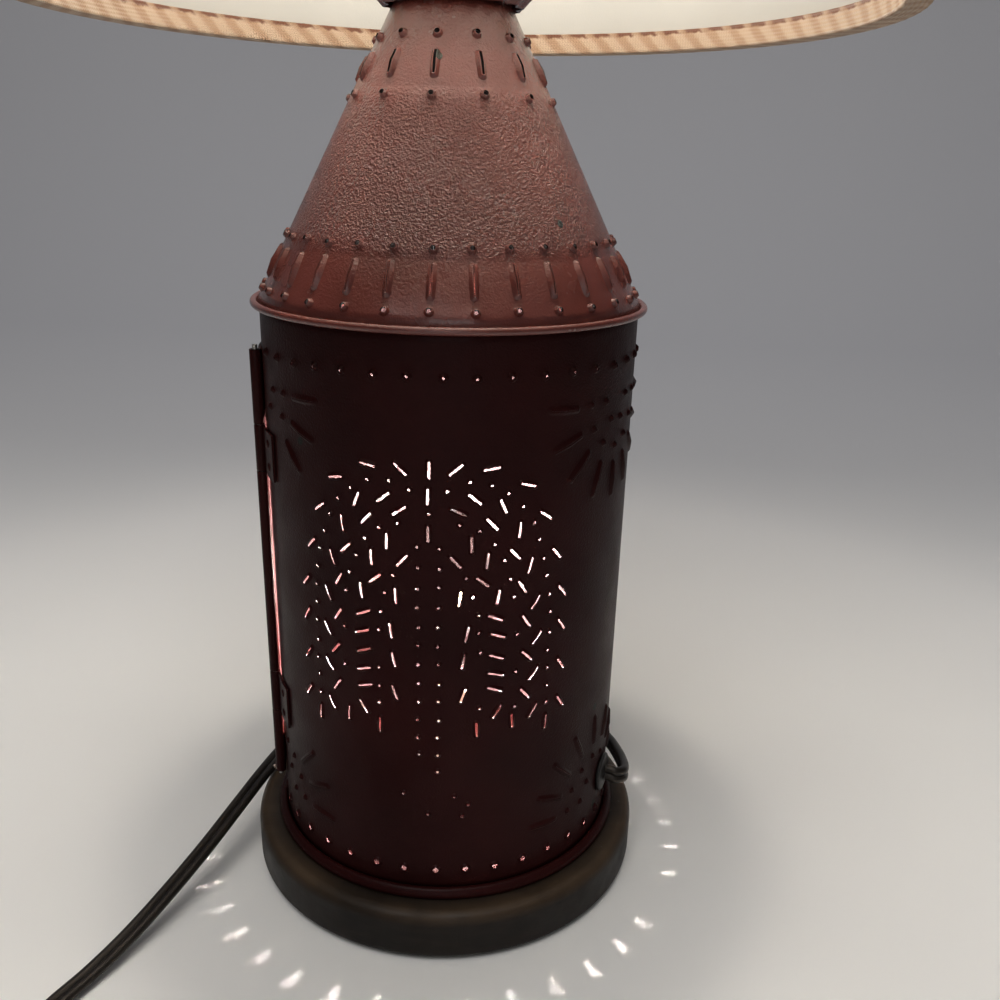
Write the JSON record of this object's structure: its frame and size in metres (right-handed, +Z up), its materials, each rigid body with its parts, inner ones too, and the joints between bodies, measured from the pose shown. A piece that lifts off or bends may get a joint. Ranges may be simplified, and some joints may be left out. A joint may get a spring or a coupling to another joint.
{
  "type": "table lamp",
  "caption": "Table lamp with a punched-tin lantern body, hinged lantern door, conical hood, dark wood base, harp and tapered check fabric shade, lit above and inside.",
  "frame": {"origin": "middle of the felt's underside, on the surface that the lamp stands on", "axes": "+Z up the lamp's axis, the punched tree faces -Y"},
  "size_m": [0.2764, 0.3492, 0.556],
  "materials": {
    "red_tin": "barn-red textured semi-gloss paint on tinplate",
    "steel": "dull zinc-plated steel",
    "dark_wood": "dark stained and scuffed hardwood",
    "felt": "dark green felt",
    "brass": "aged brass plate",
    "card": "brown insulating card",
    "black_plastic": "black moulded plastic",
    "cord_rubber": "black flat two-conductor cord",
    "cream_plastic": "cream moulded socket",
    "bulb_glass": "frosted bulb glass",
    "check_fabric": "woven rust, brown and cream check with a cream lining"
  },
  "bodies": {
    "lamp": {"bottom_pan": "red_tin", "lantern_body": "red_tin", "hinge_strap_upper": "red_tin", "hinge_strap_lower": "red_tin", "cone_hood": "red_tin", "crimped_cap": "red_tin", "pan_screw_1": "steel", "pan_screw_2": "steel", "pan_screw_3": "steel", "hinge_wire": "steel", "hasp_staple": "steel", "inner_pipe": "steel", "inner_nut": "steel", "hood_nut": "steel", "wood_base": "dark_wood", "felt_pad": "felt", "lamp_pipe": "brass", "harp_saddle": "brass", "harp": "brass", "socket_cap": "brass", "socket_shell": "brass", "plug_blade_narrow": "brass", "plug_blade_wide": "brass", "socket_liner": "card", "socket_core": "black_plastic", "cord_bushing": "black_plastic", "plug_body": "black_plastic", "upper_lead": "cord_rubber", "lower_lead": "cord_rubber", "cord_stretch": "cord_rubber", "cord_coil": "cord_rubber", "coil_tie": "cord_rubber", "inner_socket": "cream_plastic"},
    "door": {"door_panel": "red_tin", "door_hasp": "red_tin"},
    "sleeve_left": {"harp_sleeve_left": "brass"},
    "sleeve_right": {"harp_sleeve_right": "brass"},
    "switch": {"switch_knob": "black_plastic"},
    "upper_bulb": {"bulb_base": "brass", "bulb_glass": "bulb_glass"},
    "inner_bulb": {"inner_bulb_base": "brass", "inner_bulb_glass": "bulb_glass"},
    "shade": {"shade_skin": "check_fabric", "shade_spider": "brass", "shade_bottom_ring": "brass", "shade_top_trim": "check_fabric", "shade_bottom_trim": "check_fabric"},
    "finial": {"finial": "brass"}
  },
  "joints": [
    {"name": "door_hinge", "type": "hinge", "parent": "lamp", "child": "door", "pos_m": [-0.06248, -0.0203, 0.119], "axis": [0, 0, 1], "range_deg": [0, 150]},
    {"name": "switch_turn", "type": "hinge", "parent": "lamp", "child": "switch", "pos_m": [0, -0.02, 0.3361], "axis": [0, -1, 0], "continuous": true},
    {"name": "upper_bulb_turn", "type": "hinge", "parent": "lamp", "child": "upper_bulb", "pos_m": [0, 0, 0.3653], "axis": [0, 0, 1], "continuous": true},
    {"name": "inner_bulb_turn", "type": "hinge", "parent": "lamp", "child": "inner_bulb", "pos_m": [0, 0, 0.07], "axis": [0, 0, 1], "continuous": true},
    {"name": "shade_swivel", "type": "hinge", "parent": "lamp", "child": "shade", "pos_m": [0, 0, 0.525], "axis": [0, 0, 1], "continuous": true},
    {"name": "finial_turn", "type": "hinge", "parent": "lamp", "child": "finial", "pos_m": [0, 0, 0.53], "axis": [0, 0, 1], "continuous": true},
    {"name": "sleeve_left_slide", "type": "slide", "parent": "lamp", "child": "sleeve_left", "axis": [0, 0, 1], "range_m": [0, 0.013]},
    {"name": "sleeve_right_slide", "type": "slide", "parent": "lamp", "child": "sleeve_right", "axis": [0, 0, 1], "range_m": [0, 0.013]}
  ]
}
